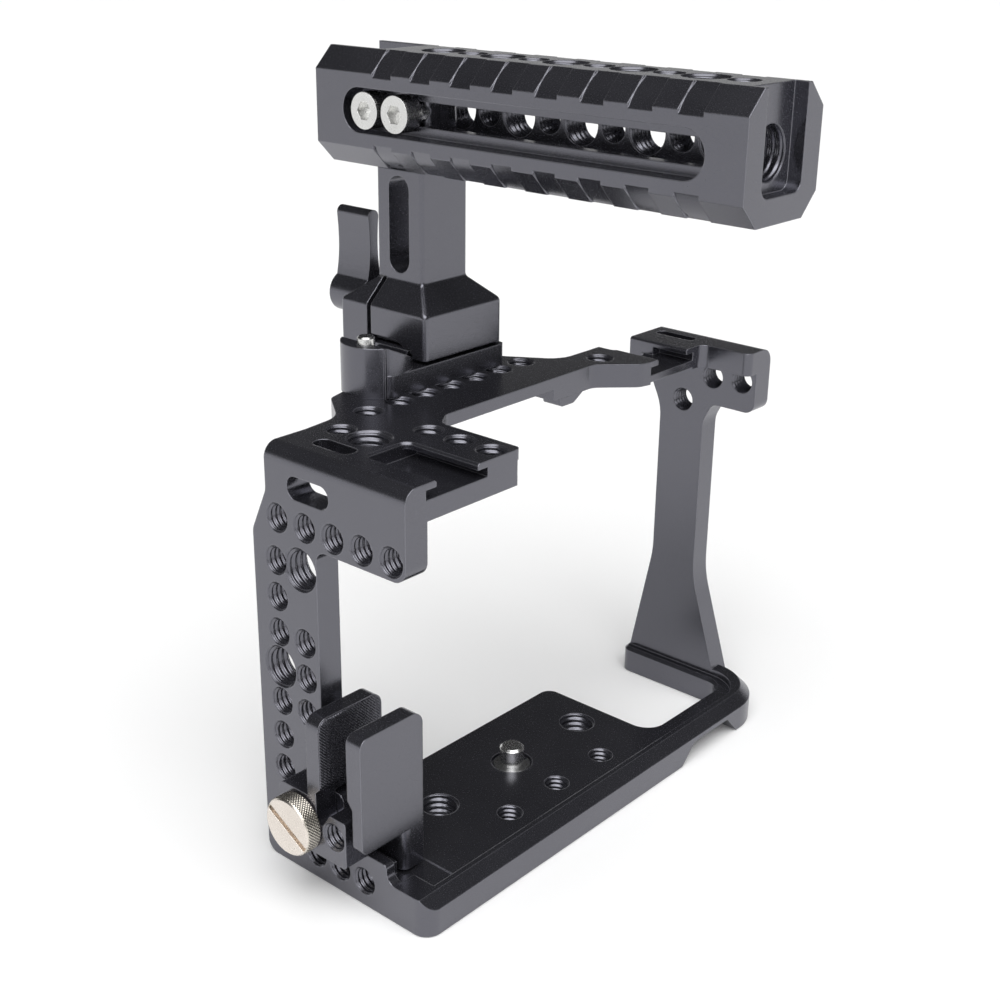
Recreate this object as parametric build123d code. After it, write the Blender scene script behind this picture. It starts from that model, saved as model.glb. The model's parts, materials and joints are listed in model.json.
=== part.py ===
from build123d import *
import math
import os

# Camera cage with a sliding top handle on a quick-release clamp, and a cable clamp on its side.
# Model coordinates, mm: X from the left wall's outer face (right as seen from behind),
# Y from the base's rear face (towards the lens), Z from the underside. The exported frame
# has its origin at the mouth of the tripod thread, see TRIPOD_X and TRIPOD_Y.

# ---------------------------------------------------------------- camera and clearances
CAMERA_WIDTH = 126.9         # body of the camera between the walls
CAMERA_FIT = 0.45            # room at each side of the body
LENS_X = 60.0                # lens axis, tripod thread and camera screw
SEAT_GAP = 0.1               # between flat faces that slide or clamp on each other
RUN_FIT = 0.08               # radial, shaft in its own bore
LOOSE_FIT = 0.35             # radial, screw through a plain hole

# ---------------------------------------------------------------- threads (bore at the thread's outside)
QUARTER_D = 6.35             # 1/4 inch-20
THREE_EIGHTHS_D = 9.53       # 3/8 inch-16
QUARTER_SINK = 0.35          # width of the countersink round a thread
BIG_SINK = 0.5
M12_BORE = 11.5

# ---------------------------------------------------------------- cage frame
WALL = 6.4                   # both side walls
CAGE_WIDTH = CAMERA_WIDTH + 2 * CAMERA_FIT + 2 * WALL
CAGE_HEIGHT = 105.3
INNER_LEFT = WALL
INNER_RIGHT = CAGE_WIDTH - WALL
SEAT_Z = 7.5                 # camera sits here
SEAT_RELIEF = 0.3            # depth of the seat's relief under the cable clamp's legs
LIP_TOP = SEAT_Z + 1.9       # lip behind the camera
LIP_DEPTH = 4.2
LIP_CHAMFER = 2.8
BASE_FRONT = 46.0
BASE_CORNER = 15.0           # rear right corner of the base
TRIPOD_X = LENS_X
TRIPOD_Y = 12.5
CAMERA_SCREW_Y = 27.5
DOOR_LEFT = LENS_X + 37.0    # opening for the battery door
DOOR_RIGHT = CAGE_WIDTH - 9.0
DOOR_REAR = 10.5
RAISED_RIGHT = CAGE_WIDTH - 16.4
RAISED_Z = 5.4               # underside raised beside the battery door

WALL_FRONT = 53.0            # front edge of the left wall
WALL_TOP_FRONT = 48.1        # the same above the bevel
BEVEL_Z0 = CAGE_HEIGHT - 21.3
BEVEL_Z1 = CAGE_HEIGHT - 10.9
TOP_REAR = 5.5               # rear face of everything above the window
WINDOW_FRONT = 32.5
WINDOW_TOP = CAGE_HEIGHT - 20.7
CLAMP_LEDGE_TOP = 13.9       # wall under the cable clamp
CLAMP_LEDGE_REAR = 12.6
THREAD_WALL_TOP = 26.2       # wall that holds the thumb screw's thread
THREAD_WALL_REAR = 26.0
POCKET_SKIN = 2.5            # what the pocket for the cable clamp leaves of the wall
POCKET_REAR = 10.4

TOP_THICK = 6.1              # thin part of the top plate
BLOCK_THICK = 8.3            # thick left part
PLATE_UNDER = CAGE_HEIGHT - TOP_THICK
BLOCK_UNDER = CAGE_HEIGHT - BLOCK_THICK
TAB_RIGHT = 35.5
TAB_LIP = 1.2                # overhang of the tab's top lip
TAB_LIP_THICK = 2.5
ARM_REAR = 32.5
ARM_FRONT = 41.6
SHOE_ROOF = 3.1              # what the relief over the camera's hot shoe leaves of the top
RELIEF_X0 = LENS_X - 19.0
RELIEF_X1 = LENS_X + 19.5
RELIEF_FRONT = 46.0
TOOTH_X0 = RELIEF_X1 + 3.2
TOOTH_X1 = RELIEF_X1 + 8.5
TOOTH_DROP = 2.4             # below the plate's underside

# ---------------------------------------------------------------- accessory shoes (ISO 518)
SHOE_OPENING = 12.5
SHOE_RECESS = 18.7
SHOE_LIP = 1.5
SHOE_DEEP = 2.15
SHOE_CHAMFER = 0.5           # round the opening's upper edge
SHOE1_X = 15.4
SHOE1_FRONT = 26.2
SHOE2_X = CAGE_WIDTH - 24.0
SHOE2_REAR = 23.3
SHOE2_STOP = 34.0
SHOE2_FLOOR_FRONT = 36.0
SHOE2_FLOOR = 1.85           # thickness of the right shoe's floor
BAR_LEFT = CAGE_WIDTH - 10.6
BAR_REAR = 8.5

# ---------------------------------------------------------------- right upright
STEM_REAR = 24.3
STEM_FRONT = 38.4
EAR_UNDER = CAGE_HEIGHT - 17.4
EAR_HOLES = ((22.0, 9.7), (12.9, 9.1), (31.2, 18.0))    # Y and depth under the top

# ---------------------------------------------------------------- strap slots
STRAP_Y0 = 28.0              # left slot, from the side
STRAP_Y1 = 41.0
STRAP_DROP = 10.8            # its lower edge under the top
STRAP_SLOT = 5.4             # its height
STRAP_END_X = 10.9           # its inner end
STRAP_TOP_X = 6.5            # the same slot's mouth in the top
STRAP_TOP_WIDTH = 4.5
RIGHT_STRAP_X = CAGE_WIDTH - 10.1
RIGHT_STRAP_WIDTH = 3.5
RIGHT_STRAP_Y0 = 27.2
RIGHT_STRAP_Y1 = 39.3

# ---------------------------------------------------------------- hole patterns
BAND_Z = CAGE_HEIGHT - 16.5
BAND_Y0 = 9.7
BAND_PITCH = 8.75
COLUMN_Y = 45.7
COLUMN_Z0 = 25.6
COLUMN_PITCH = 8.8
COLUMN_TOP_ROOM = 5.0        # from the last hole's centre to the bevel, at least
COLUMN_COUNT = int((BEVEL_Z0 - COLUMN_TOP_ROOM - COLUMN_Z0) / COLUMN_PITCH) + 1
INNER_COLUMN_Y = 37.1
FOOT_ROW_Z = 6.4
FOOT_ROW_Y0 = 20.0
FOOT_ROW_PITCH = 8.0
ARM_ROW_X0 = LENS_X - 19.6
ARM_ROW_Y = 47.3
TOP_HOLES = ((30.2, 9.4), (30.2, 18.6), (30.2, 27.8), (17.4, 42.2), (30.4, 47.0),
             (LENS_X + 24.2, ARM_ROW_Y), (SHOE2_X - 15.6, 35.0))
TOP_BIG_HOLE = (17.6, 33.5)
BASE_SMALL_PITCH = 18.0      # either side of the tripod thread
BASE_BIG_PITCH = 27.0

# ---------------------------------------------------------------- dock on the top plate
DOCK_REAR = 49.3
DOCK_FRONT = 70.6
DOCK_LEFT = LENS_X - 21.3
DOCK_RIGHT = LENS_X + 20.2
DOCK_THICK = 5.5
DOCK_END_WALL = 1.1
LUG_X = LENS_X - 16.4
LUG_Y = 57.8
LUG_R = 8.5
LUG_HEIGHT = 12.1            # above the top plate
RAIL_HEIGHT = 2.9
RAIL_REAR = 54.5
RAIL_TOP_WIDTH = 16.8
RAIL_SLOPE = math.radians(60)
RAIL_LEFT = LENS_X - 9.1
DOCK_SCREW_D = 4.0
DOCK_SCREW_HEAD_D = 7.4
DOCK_SCREW_LENGTH = 9.0
DOCK_TOP = CAGE_HEIGHT + DOCK_THICK
LUG_TOP = CAGE_HEIGHT + LUG_HEIGHT

# ---------------------------------------------------------------- clamp and riser
CLAMP_X = LENS_X + 5.1       # centre of the clamp, riser and handle
BLOCK_WIDTH = 27.3
BLOCK_FRONT = 78.3
BLOCK_HEIGHT = 11.8          # above the dock's plate
BLOCK_CORNER = 1.2
BLOCK_GAP = 1.0              # under the block, to the dock's plate
SLOPE_HEIGHT = 5.6
SLOPE_ROUND = 1.6            # where the slope meets the block's sides
COLUMN_WIDTH = 15.8
COLUMN_REAR = 55.7
COLUMN_FRONT = 70.8
COLUMN_CORNER = 1.0
RISER_HEIGHT = 26.6          # from the slope to the handle
RISER_SLOT_Y = 63.35
RISER_SLOT_WIDTH = 6.7
RISER_SLOT_LOW = 1.9         # above the slope
RISER_SLOT_HIGH = 1.5        # below the handle
JAW_REAR = 69.0
JAW_SPLIT = 1.4              # gap between the block and its jaw
JAW_TOP_GAP = 0.4
GUIDE_PIN_X = 9.2            # either side of the centre
GUIDE_PIN_RISE = 7.2         # above the dock's plate
GUIDE_PIN_D = 2.5
JAW_SPRING_D = 4.6
JAW_SPRING_LENGTH = 6.4
WIRE_D = 0.6
BLOCK_TOP = DOCK_TOP + BLOCK_HEIGHT
SLOPE_TOP = BLOCK_TOP + SLOPE_HEIGHT
HANDLE_UNDER = SLOPE_TOP + RISER_HEIGHT
RISER_SLOT_Z0 = SLOPE_TOP + RISER_SLOT_LOW
RISER_SLOT_Z1 = HANDLE_UNDER - RISER_SLOT_HIGH
GUIDE_PIN_Z = DOCK_TOP + GUIDE_PIN_RISE

# ---------------------------------------------------------------- lever
STUD_Z = DOCK_TOP + 9.1
STUD_D = 6.0
LEVER_COLLAR_R = 4.5
LEVER_COLLAR = 1.8
HUB_R = 5.1
HUB_LENGTH = 11.3
PADDLE_LENGTH = 22.0         # from the stud's axis
PADDLE_THICK = 3.5
PADDLE_WAIST = 2.7
PADDLE_WAIST_Z = 13.0
PADDLE_FOOT = 4.8            # where it grows out of the hub
CAP_SCREW_HEAD_D = 7.2

# ---------------------------------------------------------------- handle
HANDLE_REAR = -35.2
HANDLE_FRONT = 84.7
HANDLE_WIDTH = 27.1
HANDLE_HEIGHT = 26.9
HANDLE_TOP = HANDLE_UNDER + HANDLE_HEIGHT
HANDLE_CHAMFER = 5.0
HANDLE_Z = (HANDLE_UNDER + HANDLE_TOP) / 2
GRIP_R = HANDLE_WIDTH / 2 + 1.95    # radius that the grip bands are turned to
GRIP_BAND = 6.0
GRIP_PITCH = 12.1
GRIP_FIRST = 65.8            # front edge of the first band
GRIP_COUNT = 8
SLOT_REAR = -25.7
SLOT_FRONT = 75.7
SLOT_HEIGHT = 10.3
SLOT_DEEP = 5.0
INNER_SLOT = 5.7
CHANNEL_WIDTH = 11.6
CHANNEL_ROOF = 7.4           # metal over the channel
CHANNEL_TOP = HANDLE_TOP - CHANNEL_ROOF
CHANNEL_CORNER = 1.5
HANDLE_HOLE_PITCH = 9.0
HANDLE_HOLE_FIRST = 56.0
HANDLE_HOLE_COUNT = 10
END_POCKET_WIDTH = 15.0
END_POCKET_FLOOR = HANDLE_UNDER + 5.5
END_POCKET_DEEP = 3.3
FRONT_CUT_REAR = 68.0
FRONT_CUT_DEEP = 5.0
TONGUE_REAR = 56.2
TONGUE_FRONT = 72.2
TONGUE_TOP = CHANNEL_TOP - 0.6
HANDLE_SCREW_Y = (68.7, 58.9)
HANDLE_SCREW_D = 5.0
HANDLE_SCREW_HEAD_D = 8.5
HANDLE_SCREW_HEAD = 4.9

# ---------------------------------------------------------------- stop pin in the dock's lug
STOP_PIN_X = DOCK_LEFT + 0.2
STOP_PIN_Y = 56.3
STOP_PIN_D = 4.2
STOP_PIN_RISE = 2.1          # above the lug
STOP_COLLAR_D = 5.2
STOP_COLLAR = 1.6
STOP_ROOF = 4.4              # metal over the collar
STOP_PIN_TOP = LUG_TOP + STOP_PIN_RISE
STOP_SHOULDER_Z = LUG_TOP - STOP_ROOF

# ---------------------------------------------------------------- cable clamp on the left wall
CABLE_BLOCK = 6.0            # thickness, outside the wall
CABLE_BLOCK_REAR = 19.1
CABLE_BLOCK_FRONT = 41.0
CABLE_BLOCK_Z0 = 12.8
CABLE_BLOCK_Z1 = 27.3
CABLE_BOSS_TOP = 24.8
CABLE_BOSS_FRONT = 24.0
CABLE_BOSS_HOLE_Y = 23.0
SCOOP_Z = 21.0               # bottom of the hollow between the boss and the jaw
SCOOP_Y0 = 26.6
THUMB_Y = 33.6
THUMB_Z = 19.8
THUMB_HEAD_D = 13.8
THUMB_HEAD = 4.4
THUMB_CHAMFER = 0.3
THUMB_SLOT = 1.5
THUMB_SLOT_DEEP = 1.4
THUMB_SLOT_TURN = 30         # degrees from level
CABLE_JAW_TOP = 47.5         # both jaws
CABLE_JAW_RIGHT = 13.4
FRONT_JAW_Y0 = 27.1          # face that grips the cable
FRONT_JAW_Y1 = 31.1
FRONT_JAW_THIN = 1.4         # below its grip the jaw is this much thinner
FRONT_GRIP_Z = 30.2
REAR_JAW_Y0 = 14.1
REAR_JAW_Y1 = 18.5
REAR_JAW_THIN = 1.5
REAR_GRIP_Z = 31.2
REAR_JAW_Z0 = 18.5
LEG_GAP = 0.6                # between the wall's inner face and the legs
LEG_Z0 = SEAT_Z + 0.4
LEG_CORNER = 2.3
CABLE_CLOSE = 1.6            # travel of the sliding jaw towards the fixed one
CABLE_ROOM = 0.3             # left between the legs when it is closed
CABLE_SCREW_D = 3.0
CABLE_SCREW_HEAD_D = 5.0
CABLE_SCREW_Z = 13.4
CABLE_PIN_D = 1.6
CABLE_PIN_OFFSET = 4.0

# ---------------------------------------------------------------- camera screw in the base
CAMERA_HEAD_D = 15.0
CAMERA_HEAD = 3.0
CAMERA_HEAD_POCKET = 3.7
CAMERA_STUD_TOP = SEAT_Z + 4.8
CLIP_POCKET = 1.2
CLIP_D = 9.4
CLIP_THICK = 0.7
CLIP_NECK_D = 4.6


# ---------------------------------------------------------------- helpers
def outline(*corners):
    """Closed face through (u, v) corners; a third value rounds that corner."""
    face = make_face(Polyline(*[corner[:2] for corner in corners], close=True))
    for u, v, *radius in corners:
        if radius:
            face = fillet(face.vertices().sort_by_distance((u, v, 0))[0], radius[0])
    return face


def box_face(u0, u1, v0, v1):
    """Rectangle between two opposite corners."""
    return Pos((u0 + u1) / 2, (v0 + v1) / 2) * Rectangle(u1 - u0, v1 - v0)


def rounded_slot(u0, u1, v0, v1, radius):
    """Rectangle between two opposite corners, with its corners rounded."""
    return outline((u0, v0, radius), (u1, v0, radius), (u1, v1, radius), (u0, v1, radius))


def along_x(face, x0, x1):
    """Solid from a (Y, Z) profile between two X."""
    return extrude(Plane.YZ.offset(x0) * face, amount=x1 - x0, dir=(1, 0, 0))


def along_y(face, y0, y1):
    """Solid from an (X, Z) profile between two Y."""
    return extrude(Plane.XZ.offset(-y0) * face, amount=y1 - y0, dir=(0, 1, 0))


def along_z(face, z0, z1):
    """Solid from an (X, Y) profile between two Z."""
    return extrude(Plane.XY.offset(z0) * face, amount=z1 - z0, dir=(0, 0, 1))


def rod(point, direction, length, diameter):
    """Cylinder that starts at point and runs along direction."""
    place = Plane(origin=point, z_dir=direction)
    return place * Cylinder(diameter / 2, length, align=(Align.CENTER, Align.CENTER, Align.MIN))


def tapped(point, direction, depth, diameter, sink=QUARTER_SINK):
    """Cutter for a tapped hole: it starts at its mouth and has a countersink there."""
    place = Plane(origin=point, z_dir=direction)
    base = (Align.CENTER, Align.CENTER, Align.MIN)
    mouth = Cone(diameter / 2 + sink, diameter / 2, sink, align=base)
    return rod(point, direction, depth, diameter) + place * mouth


def small_hole(point, direction, depth):
    return tapped(point, direction, depth, QUARTER_D)


def big_hole(point, direction, depth):
    return tapped(point, direction, depth, THREE_EIGHTHS_D, BIG_SINK)


def spring(point, direction, length, diameter, turns):
    """Coil spring of round wire, from point along direction."""
    path = Helix(pitch=(length - WIRE_D) / turns, height=length - WIRE_D, radius=(diameter - WIRE_D) / 2)
    section = Plane(origin=path @ 0, z_dir=path % 0) * Circle(WIRE_D / 2)
    coil = Pos(0, 0, WIRE_D / 2) * sweep(section, path=path)
    return Plane(origin=point, z_dir=direction) * coil


# ---------------------------------------------------------------- cage frame
def left_wall():
    """Wall with the window that is open to the rear."""
    profile = outline(
        (0, 0), (WALL_FRONT, 0, 3), (WALL_FRONT, BEVEL_Z0, 4), (WALL_TOP_FRONT, BEVEL_Z1, 4),
        (WALL_TOP_FRONT, CAGE_HEIGHT), (TOP_REAR, CAGE_HEIGHT), (TOP_REAR, WINDOW_TOP, 3.5),
        (WINDOW_FRONT, WINDOW_TOP, 3), (WINDOW_FRONT, THREAD_WALL_TOP, 2.5),
        (THREAD_WALL_REAR, THREAD_WALL_TOP, 2), (THREAD_WALL_REAR, CLAMP_LEDGE_TOP, 2),
        (CLAMP_LEDGE_REAR, CLAMP_LEDGE_TOP, 1.2), (CLAMP_LEDGE_REAR, LIP_TOP, 2.5), (0, LIP_TOP))
    wall = along_x(profile, 0, WALL)
    corner = wall.edges().filter_by(Axis.Z).sort_by_distance((0, 0, LIP_TOP / 2))[0]
    return chamfer_rear(fillet(corner, 4))


def chamfer_rear(solid):
    """Cuts the bevel that runs along the top of the base's rear face."""
    cutter = outline((-1, LIP_TOP - LIP_CHAMFER - 1), (LIP_CHAMFER + 1, LIP_TOP + 1), (-1, LIP_TOP + 1))
    return solid - along_x(cutter, -1, INNER_LEFT + 1)


def base_plate():
    """Floor with the lip behind the camera, open for the battery door and raised beside it."""
    plan = outline(
        (0, 0, 4), (CAGE_WIDTH, 0, BASE_CORNER), (CAGE_WIDTH, BASE_FRONT, 5), (DOOR_RIGHT, BASE_FRONT, 3),
        (DOOR_RIGHT, DOOR_REAR, 5), (DOOR_LEFT, DOOR_REAR, 5), (DOOR_LEFT, BASE_FRONT, 4), (0, BASE_FRONT))
    plate = along_z(plan, 0, LIP_TOP)
    rim = [edge for edge in plate.edges().group_by(Axis.Z)[-1]
           if edge.center().Y < min(BASE_CORNER / 2, DOOR_REAR - 1) and edge.length > 5]
    plate = chamfer(rim, LIP_CHAMFER)
    seat = outline(
        (INNER_LEFT, LIP_DEPTH), (INNER_RIGHT, LIP_DEPTH, 11), (INNER_RIGHT, BASE_FRONT + 1),
        (INNER_LEFT, BASE_FRONT + 1))
    plate -= along_z(seat, SEAT_Z, LIP_TOP + 1)
    relief = box_face(POCKET_SKIN, CABLE_JAW_RIGHT + 1, LIP_DEPTH, BASE_FRONT + 1)
    plate -= along_z(relief, SEAT_Z - SEAT_RELIEF, SEAT_Z + 1) & along_z(seat, 0, LIP_TOP)
    raised = outline(
        (DOOR_LEFT - 0.5, -1), (DOOR_LEFT + 1.5, 0.6, 3), (DOOR_LEFT + 6.2, RAISED_Z, 3),
        (RAISED_RIGHT - 5.2, RAISED_Z, 1), (RAISED_RIGHT, -0.1), (RAISED_RIGHT, -1))
    return plate - along_y(raised, -1, BASE_FRONT + 1)


def clamp_pocket():
    """Cutter for the pocket in the left wall's inner face, for the legs of the cable clamp."""
    step_y = FOOT_ROW_Y0 - QUARTER_D / 2 - 1
    step_z = FOOT_ROW_Z + QUARTER_D / 2 + 0.8
    profile = outline(
        (POCKET_REAR, SEAT_Z - SEAT_RELIEF, 1), (step_y, SEAT_Z - SEAT_RELIEF), (step_y, step_z),
        (THREAD_WALL_REAR - 2, step_z, 1), (THREAD_WALL_REAR - 2, CLAMP_LEDGE_TOP + 1),
        (POCKET_REAR, CLAMP_LEDGE_TOP + 1))
    return along_x(profile, POCKET_SKIN, WALL + 0.5)


def right_wall():
    """Slim upright that flares into the base and into the ear with its three threads."""
    profile = outline(
        (BASE_CORNER, 0), (BASE_FRONT - 5, 0), (BASE_FRONT - 1, 6, 2), (STEM_FRONT, 40, 30),
        (STEM_FRONT, EAR_UNDER - 3.9, 14), (ARM_FRONT + 0.4, EAR_UNDER + 3.6, 5), (ARM_FRONT, CAGE_HEIGHT),
        (BAR_REAR, CAGE_HEIGHT), (BAR_REAR, EAR_UNDER, 3), (STEM_REAR - 2.7, EAR_UNDER, 2.5),
        (STEM_REAR, EAR_UNDER - 5.3, 6), (STEM_REAR, 36, 30), (BASE_CORNER, 7, 3))
    return along_x(profile, INNER_RIGHT, CAGE_WIDTH)


def top_plate():
    """Top with the tab, the arm round the hot shoe and the bar over the right wall."""
    plan = outline(
        (0, TOP_REAR), (TAB_RIGHT, TOP_REAR, 1.5), (TAB_RIGHT, ARM_REAR - 3.5, 3),
        (TAB_RIGHT + 5, ARM_REAR, 4), (SHOE2_X - 21.6, ARM_REAR, 4), (SHOE2_X - 13, SHOE2_REAR + 0.7, 4),
        (SHOE2_X - 9.6, SHOE2_REAR), (BAR_LEFT, SHOE2_REAR, 2.5), (BAR_LEFT, BAR_REAR, 2),
        (CAGE_WIDTH, BAR_REAR, 3), (CAGE_WIDTH, ARM_FRONT, 3), (DOCK_RIGHT + 13.2, ARM_FRONT, 8),
        (DOCK_RIGHT + 5.2, DOCK_FRONT - 16.8, 5), (DOCK_RIGHT + 0.8, DOCK_FRONT - 7.6, 8),
        (DOCK_RIGHT - 2.7, DOCK_FRONT, 5), (LUG_X + 1.9, DOCK_FRONT, 6), (LUG_X - 5.6, DOCK_FRONT - 8.2, 6),
        (LUG_X - 12.6, DOCK_FRONT - 10.2, 4), (22.6, WALL_TOP_FRONT + 1.1, 8), (12.0, WALL_TOP_FRONT),
        (0, WALL_TOP_FRONT))
    plate = along_z(plan, PLATE_UNDER, CAGE_HEIGHT)
    block = outline(
        (0, TOP_REAR), (TAB_RIGHT - TAB_LIP, TOP_REAR), (TAB_RIGHT - TAB_LIP, 40, 5),
        (26.0, WALL_TOP_FRONT, 5), (0, WALL_TOP_FRONT))
    plate += along_z(block, BLOCK_UNDER, PLATE_UNDER)
    lip_z = CAGE_HEIGHT - TAB_LIP_THICK
    plate -= along_z(box_face(TAB_RIGHT - TAB_LIP, TAB_RIGHT + 1, 0, 27.5), 0, lip_z)
    plate -= along_z(outline((RELIEF_X0, 0), (RELIEF_X1, 0), (RELIEF_X1, RELIEF_FRONT, 4),
                             (RELIEF_X0, RELIEF_FRONT, 4)), 0, CAGE_HEIGHT - SHOE_ROOF)
    tooth_z = PLATE_UNDER - TOOTH_DROP
    tooth = outline((TOOTH_X0, PLATE_UNDER), (TOOTH_X0, tooth_z, 1), (TOOTH_X1, tooth_z, 2),
                    (TOOTH_X1 + 4, PLATE_UNDER))
    return plate + along_y(tooth, ARM_REAR + 0.5, ARM_REAR + 6)


def shoe_cutters():
    """The two accessory shoes: a wide recess under two lips and the opening between them."""
    floor = CAGE_HEIGHT - SHOE_LIP - SHOE_DEEP
    lip = CAGE_HEIGHT - SHOE_LIP
    half, wide = SHOE_OPENING / 2, SHOE_RECESS / 2
    mouth1 = outline((SHOE1_X - half, 0), (SHOE1_X + half, 0), (SHOE1_X + half, SHOE1_FRONT, 2),
                     (SHOE1_X - half, SHOE1_FRONT, 2))
    mouth2 = box_face(SHOE2_X - half, SHOE2_X + half, 0, ARM_FRONT + 1)
    notch_x = SHOE2_X - wide + 1.7
    notch = outline((notch_x, SHOE2_FLOOR_FRONT, 2), (SHOE2_X + half, SHOE2_FLOOR_FRONT, 2),
                    (SHOE2_X + half, ARM_FRONT + 1), (notch_x, ARM_FRONT + 1))
    cutters = [
        along_z(box_face(SHOE1_X - wide, SHOE1_X + wide, 0, SHOE1_FRONT), floor, lip),
        along_z(mouth1, floor, CAGE_HEIGHT + 1),
        along_z(box_face(SHOE2_X - wide, SHOE2_X + wide, 0, SHOE2_STOP), floor, lip),
        along_z(mouth2, floor, CAGE_HEIGHT + 1),
        along_z(notch, BLOCK_UNDER, CAGE_HEIGHT + 1),
        along_z(box_face(SHOE2_X - wide, SHOE2_X + wide, 0, SHOE2_FLOOR_FRONT + 1), BLOCK_UNDER,
                floor - SHOE2_FLOOR)]
    edge = Plane.XY.offset(CAGE_HEIGHT - SHOE_CHAMFER)
    for mouth in (mouth1, mouth2):
        cutters.append(extrude(edge * mouth, amount=SHOE_CHAMFER, taper=-45))
    return cutters


def strap_cutters():
    """Strap slots: one from the left face up through the top, one down through the right bar."""
    z = CAGE_HEIGHT - STRAP_DROP
    side = rounded_slot(STRAP_Y0, STRAP_Y1, z, z + STRAP_SLOT, 2.6)
    top = rounded_slot(STRAP_TOP_X, STRAP_TOP_X + STRAP_TOP_WIDTH, STRAP_Y0 + 1.2, STRAP_Y1 - 0.2, 2.1)
    right = rounded_slot(RIGHT_STRAP_X, RIGHT_STRAP_X + RIGHT_STRAP_WIDTH, RIGHT_STRAP_Y0, RIGHT_STRAP_Y1,
                         1.7)
    return [along_x(side, -1, STRAP_END_X), along_z(top, z + 0.5, CAGE_HEIGHT + 1),
            along_z(right, BLOCK_UNDER - 1, CAGE_HEIGHT + 1)]


def frame_holes():
    """Every tapped hole of the cage: mouths on the outer faces."""
    through = WALL + 1
    side = (1, 0, 0)
    holes = []
    for i in range(5):
        holes.append(small_hole((0, BAND_Y0 + i * BAND_PITCH, BAND_Z), side, through))
    for i in range(COLUMN_COUNT):
        cut = big_hole if i == 3 else small_hole
        holes.append(cut((0, COLUMN_Y, COLUMN_Z0 + i * COLUMN_PITCH), side, through))
    for i in (2, 3, 4):
        holes.append(small_hole((0, INNER_COLUMN_Y, COLUMN_Z0 + i * COLUMN_PITCH), side, through))
    last_z = COLUMN_Z0 + (COLUMN_COUNT - 1) * COLUMN_PITCH
    holes.append(big_hole((0, INNER_COLUMN_Y + 0.7, last_z), side, through))
    for i in range(3):
        holes.append(small_hole((0, FOOT_ROW_Y0 + i * FOOT_ROW_PITCH, FOOT_ROW_Z), side, WALL - 0.4))
    holes.append(rod((-1, THUMB_Y, THUMB_Z), side, WALL + 2, QUARTER_D))

    down = (0, 0, -1)
    for x, y in TOP_HOLES:
        holes.append(small_hole((x, y, CAGE_HEIGHT), down, BLOCK_THICK + 1))
    holes.append(big_hole((*TOP_BIG_HOLE, CAGE_HEIGHT), down, BLOCK_THICK + 1))
    for i in range(5):
        x = ARM_ROW_X0 + i * COLUMN_PITCH
        holes.append(small_hole((x, ARM_ROW_Y, CAGE_HEIGHT), down, BLOCK_THICK + 1))
    for y, drop in EAR_HOLES:
        holes.append(small_hole((CAGE_WIDTH, y, CAGE_HEIGHT - drop), (-1, 0, 0), through))

    up = (0, 0, 1)
    holes.append(rod((TRIPOD_X, TRIPOD_Y, -1), up, SEAT_Z + 2, QUARTER_D))
    for x in (TRIPOD_X - BASE_SMALL_PITCH, TRIPOD_X + BASE_SMALL_PITCH):
        holes.append(small_hole((x, TRIPOD_Y, 0), up, SEAT_Z + 1))
    for x in (TRIPOD_X - BASE_BIG_PITCH, TRIPOD_X + BASE_BIG_PITCH):
        holes.append(big_hole((x, CAMERA_SCREW_Y, 0), up, SEAT_Z + 1))
    return holes


def camera_screw_cutters():
    """Stepped hole of the camera screw: head below, retaining clip above."""
    head = rod((LENS_X, CAMERA_SCREW_Y, -1), (0, 0, 1), CAMERA_HEAD_POCKET + 1, CAMERA_HEAD_D + 1.6)
    neck = rod((LENS_X, CAMERA_SCREW_Y, 0), (0, 0, 1), SEAT_Z + 1, QUARTER_D + 2 * LOOSE_FIT)
    clip = rod((LENS_X, CAMERA_SCREW_Y, SEAT_Z - CLIP_POCKET), (0, 0, 1), CLIP_POCKET + 1, CLIP_D + 1.2)
    return [head, neck, clip]


def dock_screw_places():
    """Four screws under the dock's plate, clear of the row of threads behind it."""
    places = []
    for step in (1.5, 3.5):
        x = ARM_ROW_X0 + step * COLUMN_PITCH
        places += [(x, DOCK_REAR + 3.9), (x, DOCK_FRONT - 4.4)]
    return places


def dock_screw_cutters():
    cutters = []
    under = (0, 0, 1)
    for x, y in dock_screw_places():
        cutters.append(rod((x, y, PLATE_UNDER - 1), under, 20, DOCK_SCREW_D + 2 * RUN_FIT))
        place = Plane(origin=(x, y, PLATE_UNDER), z_dir=under)
        cutters.append(place * Cone(DOCK_SCREW_HEAD_D / 2 + RUN_FIT, DOCK_SCREW_D / 2 + RUN_FIT,
                                    (DOCK_SCREW_HEAD_D - DOCK_SCREW_D) / 2,
                                    align=(Align.CENTER, Align.CENTER, Align.MIN)))
    return cutters


def cage_frame():
    frame = base_plate() + left_wall() + right_wall() + top_plate()
    frame -= shoe_cutters() + strap_cutters() + frame_holes() + camera_screw_cutters() + dock_screw_cutters()
    frame -= clamp_pocket()
    envelope = outline((0, -1), (CAGE_WIDTH, -1), (CAGE_WIDTH, CAGE_HEIGHT, 4), (0, CAGE_HEIGHT, 3.5))
    return frame & along_y(envelope, -1, 90)


# ---------------------------------------------------------------- dock
RAIL_TOP = DOCK_TOP + RAIL_HEIGHT
RAIL_UNDERCUT = RAIL_HEIGHT / math.tan(RAIL_SLOPE)
RAIL_FRONT = RAIL_REAR + RAIL_TOP_WIDTH


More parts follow.
